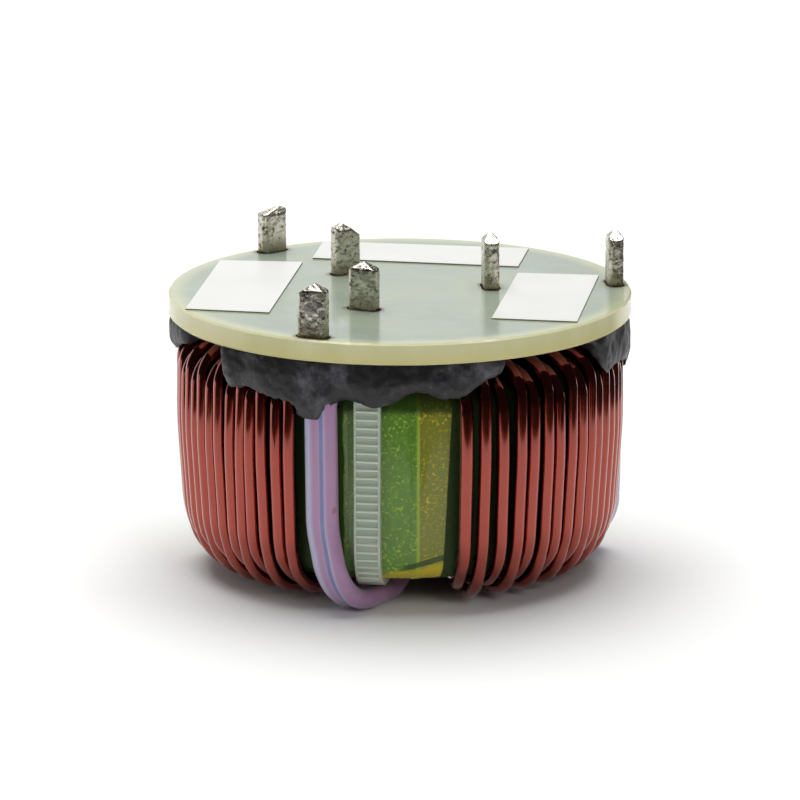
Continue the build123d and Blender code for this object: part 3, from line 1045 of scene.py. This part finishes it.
class CHOKE_OT_sleeves(bpy.types.Operator):
    """Adds the three sleeves, thin lilac film that the two wires show through"""

    bl_idname = "choke.sleeves"
    bl_label = "Sleeves"

    def execute(self, context):
        finish = sleeve_finish(context.scene.choke_colours)
        for n in PHASES:
            node = f"lead_sleeve_{n}"
            piece = copy_of(node, f"sleeve_{n}")
            wires = [bpy.data.objects[f"enamelled_{n}{letter}"] for letter in "ab"]
            mark_wires(piece, wires)
            choose(piece)
            bpy.ops.object.shade_smooth_by_angle(angle=math.radians(40))
            settle(piece, finish, "lilac_sleeving", node)
        return {"FINISHED"}


def block(size, place, bevel):
    """A box with softened edges."""
    bpy.ops.object.select_all(action="DESELECT")
    bpy.ops.mesh.primitive_cube_add(size=1.0)
    piece = bpy.context.object
    piece.scale = size
    piece.location = place
    apply_place(piece)
    edit(piece, "EDGE")
    bpy.ops.mesh.bevel(offset=bevel, segments=2, affect="EDGES")
    close_edit()
    return piece


def join(pieces, name):
    """One piece of several."""
    choose(*pieces)
    bpy.ops.object.join()
    joined = bpy.context.object
    joined.name = name
    return joined


def twin(piece, name):
    """A copy of a piece with a mesh of its own."""
    made = piece.copy()
    made.data = piece.data.copy()
    made.name = name
    bpy.context.scene.collection.objects.link(made)
    return made


def turn_piece(piece, angle, centre=(0, 0, 0), axis="Z"):
    """Turns a piece's mesh about a line through a point."""
    centre = Vector(centre)
    turn = Matrix.Translation(centre) @ Matrix.Rotation(angle, 4, axis)
    piece.data.transform(turn @ Matrix.Translation(-centre))
    piece.data.update()


def mark_recess_shade(piece, value):
    """Writes in an attribute whether a piece of a tie is the sunk face between its ribs, which the
    nylon's finish gives painted shade.
    """
    recess_shade = piece.data.attributes.new("recess_shade", "FLOAT", "POINT")
    for entry in recess_shade.data:
        entry.value = value


def rib_cell(pitch):
    """One rib of a tie with the rails beside it, on the strap's outside, just above the corner."""
    over = pitch * RIB_OVERLAP
    layout = (
        (SUNK_FACE, 0.0, over, 1.0),
        (RIB, 0.0, pitch * RIB_SHARE, 0.0),
        (RAIL, -RAIL_PLACE, over, 0.5),
        (RAIL, RAIL_PLACE, over, 0.5),
    )
    parts = []
    for (thickness, width, out, bevel), y, height, recess_shade in layout:
        place = (TIE_FACE_R + out, y, TIE_CORNER_Z + pitch / 2)
        part = block((thickness, width, height), place, bevel)
        mark_recess_shade(part, recess_shade)
        parts.append(part)
    return join(parts, "rib_cell")


def tie_ribs(pitch):
    """The ribs down the outside of a strap and round its corner, for a tie at angle 0."""
    first = rib_cell(pitch)
    cells = []
    for n in range(1, STRAIGHT_RIBS):
        cell = twin(first, "rib")
        cell.data.transform(Matrix.Translation((0, 0, n * pitch)))
        cells.append(cell)
    step = pitch / TIE_CORNER
    middle = (TIE_CORNER_R, 0, TIE_CORNER_Z)
    for n in range(CORNER_RIBS):
        cell = twin(first, "rib")
        cell.data.transform(Matrix.Translation((0, 0, -pitch / 2)))
        turn_piece(cell, (n + 0.5) * step, middle, "Y")
        cells.append(cell)
    return join([first, *cells], "ribs")


def nylon_finish(colours):
    """Milky nylon, with painted shade between its ribs."""
    finish = Finish("natural_nylon", 0.32, Subsurface_Weight=0.3, Subsurface_Scale=0.001)
    base = Vector(colours.nylon)
    cloud = finish.noise(500.0, detail=3.0)
    nylon = finish.mix(cloud, base * 0.9, base * 1.05)
    recess_shade_colour = Vector(linear(156, 165, 150))
    # Painted shade: the sunk face between the ribs, and half as much on the rails, is painted
    # greyer
    finish.set("Base Color", finish.mix(finish.attribute("recess_shade") * 0.8, nylon, recess_shade_colour))
    return finish


class CHOKE_OT_ties(bpy.types.Operator):
    """Adds the three ribbed cable ties, in natural nylon"""

    bl_idname = "choke.ties"
    bl_label = "Cable ties"

    def execute(self, context):
        finish = nylon_finish(context.scene.choke_colours)
        ribs = tie_ribs(context.scene.choke_shapes.rib_pitch)
        for n in PHASES:
            node = f"cable_tie_{n}"
            strap = copy_of(node, "strap")
            mark_recess_shade(strap, 0.0)
            own = twin(ribs, "own_ribs")
            turn_piece(own, TIE_ANGLE + SECTOR * (n - 1))
            piece = join([strap, own], f"tie_{n}")
            round_foot(piece, TIE_SHARE)
            choose(piece)
            bpy.ops.object.shade_smooth_by_angle(angle=math.radians(35))
            settle(piece, finish, "natural_nylon", node)
        bpy.data.objects.remove(ribs)
        return {"FINISHED"}


class ChokeStage(bpy.types.PropertyGroup):
    """The camera, the floor, the lights and the cloth."""

    camera_distance: FloatProperty(
        name="Camera distance",
        description="From the middle of the board's face",
        default=0.896,
        unit="LENGTH",
    )
    camera_azimuth: FloatProperty(
        name="Camera azimuth",
        description="The camera's turn round the choke, 0 from the front",
        default=math.radians(-7.2),
        unit="ROTATION",
    )
    camera_elevation: FloatProperty(
        name="Camera elevation",
        description="The camera's height over the board, as an angle",
        default=math.radians(13.26),
        unit="ROTATION",
    )
    camera_pitch: FloatProperty(
        name="Camera pitch",
        description="How far the camera looks down",
        default=math.radians(14.24),
        unit="ROTATION",
    )
    camera_lens: FloatProperty(
        name="Lens",
        description="Focal length in millimetres on a 36 mm frame",
        default=291.4,
    )
    floor_radius: FloatProperty(
        name="Floor",
        description="Radius of the round floor",
        default=4.0,
        unit="LENGTH",
    )
    top_watts: FloatProperty(
        name="Top light",
        description="Power of the light overhead, in watts",
        default=12.5,
    )
    left_watts: FloatProperty(
        name="Left light",
        description="Power of the light at the left, in watts",
        default=1.3,
    )
    front_watts: FloatProperty(
        name="Front light",
        description="Power of the light in front, in watts",
        default=2.8,
    )
    wall_watts: FloatProperty(
        name="Back wall",
        description="Power of the bright wall behind, in watts",
        default=14.0,
    )
    cloth_hole: FloatProperty(
        name="Cloth's hole",
        description="Radius of the hole in the dark cloth round the choke",
        default=0.132,
        unit="LENGTH",
    )


def area_light(name, place, target, width, height, watts):
    """A soft rectangular light that points at a target."""
    light = bpy.data.lights.new(name, "AREA")
    light.shape = "RECTANGLE"
    light.size = width
    light.size_y = height
    light.energy = watts
    made = bpy.data.objects.new(name, light)
    made.location = place
    made.rotation_mode = "QUATERNION"
    made.rotation_quaternion = (Vector(target) - Vector(place)).to_track_quat("-Z", "Y")
    bpy.context.scene.collection.objects.link(made)
    return made


def add_floor(radius):
    """A round sheet of pale paper that the choke stands on."""
    bpy.ops.object.select_all(action="DESELECT")
    bpy.ops.mesh.primitive_circle_add(
        vertices=96, radius=radius, fill_type="NGON", location=(0, 0, 0)
    )
    floor = bpy.context.object
    floor.name = "floor"
    paper = Finish("floor_paper", 0.7)
    paper.set("Base Color", (0.86, 0.86, 0.85))
    floor.data.materials.append(paper.material)


def add_air(scene):
    """Faint white light from all around, and plain screen colours."""
    world = bpy.data.worlds.new("studio")
    world.use_nodes = True
    background = world.node_tree.nodes["Background"]
    background.inputs["Color"].default_value = (1, 1, 1, 1)
    background.inputs["Strength"].default_value = 0.02
    scene.world = world
    scene.view_settings.view_transform = "Standard"


def add_lights(stage):
    """A soft box overhead, two in front that the wires don't mirror, and a bright wall behind."""
    choke = (0, 0, 0.02)
    area_light("top_box", (0.0, 0.27, 0.9), (0, 0.27, 0), 0.9, 0.9, stage.top_watts)
    soft = (
        area_light("left_box", (-0.7, -0.5, 0.5), choke, 0.5, 0.6, stage.left_watts),
        area_light("front_box", (0.35, -0.9, 0.6), choke, 0.5, 0.5, stage.front_watts),
    )
    for light in soft:
        light.visible_glossy = False
    area_light("back_wall", (-1.6, 2.2, 0.8), (-1.6, 0, 0.3), 4.0, 1.6, stage.wall_watts)


def add_cloth(hole):
    """A dark cloth with a hole round the choke, seen by nothing but gloss.

    The wires mirror the pale floor as far as the hole's edge and the dark cloth beyond it. It
    fades out behind the choke, where the board mirrors the bright wall.
    """
    bpy.ops.object.select_all(action="DESELECT")
    bpy.ops.mesh.primitive_grid_add(x_subdivisions=2, y_subdivisions=2, size=6.0)
    cloth = bpy.context.object
    cloth.name = "dark_cloth"
    cloth.location.z = 0.0004
    apply_place(cloth)
    black = Finish("cloth_black", 1.0)
    x, y, _ = black.axes(black.place)
    reach = (x * x + y * y) ** 0.5
    hem = hole * 0.06
    outside = black.step(reach, hole - hem, hole + hem)
    behind = black.step(y - 0.3 * x, 0.02, 0.05)
    black.set("Base Color", (0.004, 0.004, 0.004))
    black.set("Alpha", outside * (1.0 - behind))
    cloth.data.materials.append(black.material)
    cloth.visible_camera = False
    cloth.visible_diffuse = False
    cloth.visible_shadow = False
    cloth.visible_transmission = False


def add_camera(scene, stage):
    """The camera, a long lens that looks a little down at the board."""
    target = Vector((0, 0, board_high.z))
    azimuth, elevation = stage.camera_azimuth, stage.camera_elevation
    flat = math.cos(elevation)
    back = Vector((math.sin(azimuth) * flat, -math.cos(azimuth) * flat, math.sin(elevation)))
    lens = bpy.data.cameras.new("camera")
    lens.lens = stage.camera_lens
    lens.sensor_width = 36.0
    lens.clip_start = 0.05
    lens.clip_end = 20.0
    camera = bpy.data.objects.new("camera", lens)
    camera.location = target + back * stage.camera_distance
    camera.rotation_mode = "XYZ"
    camera.rotation_euler = (math.pi / 2 - stage.camera_pitch, 0.0, azimuth)
    scene.collection.objects.link(camera)
    scene.camera = camera


class CHOKE_OT_stage(bpy.types.Operator):
    """Adds the pale floor, the soft light and the camera"""

    bl_idname = "choke.stage"
    bl_label = "Stage"

    def execute(self, context):
        stage = context.scene.choke_stage
        add_floor(stage.floor_radius)
        add_air(context.scene)
        add_lights(stage)
        add_cloth(stage.cloth_hole)
        add_camera(context.scene, stage)
        return {"FINISHED"}


class CHOKE_PT_panel(bpy.types.Panel):
    """Lists the steps that build the choke's looks"""

    bl_idname = "CHOKE_PT_panel"
    bl_label = "Common Mode Choke"
    bl_space_type = "VIEW_3D"
    bl_region_type = "UI"
    bl_category = "Choke"

    def draw(self, context):
        layout = self.layout
        for step in STEPS:
            layout.operator(step.bl_idname)


STEPS = (
    CHOKE_OT_wires,
    CHOKE_OT_board,
    CHOKE_OT_strips,
    CHOKE_OT_pins,
    CHOKE_OT_beads,
    CHOKE_OT_tape,
    CHOKE_OT_sleeves,
    CHOKE_OT_ties,
    CHOKE_OT_stage,
)
CLASSES = (ChokeColours, ChokeShapes, ChokeStage, *STEPS, CHOKE_PT_panel)


def register():
    for each in CLASSES:
        bpy.utils.register_class(each)
    bpy.types.Scene.choke_colours = bpy.props.PointerProperty(type=ChokeColours)
    bpy.types.Scene.choke_shapes = bpy.props.PointerProperty(type=ChokeShapes)
    bpy.types.Scene.choke_stage = bpy.props.PointerProperty(type=ChokeStage)


def unregister():
    del bpy.types.Scene.choke_stage
    del bpy.types.Scene.choke_shapes
    del bpy.types.Scene.choke_colours
    for each in reversed(CLASSES):
        bpy.utils.unregister_class(each)


def main():
    register()
    bpy.ops.choke.wires()
    bpy.ops.choke.board()
    bpy.ops.choke.strips()
    bpy.ops.choke.pins()
    bpy.ops.choke.beads()
    bpy.ops.choke.tape()
    bpy.ops.choke.sleeves()
    bpy.ops.choke.ties()
    bpy.ops.choke.stage()


if __name__ == "__main__":
    main()
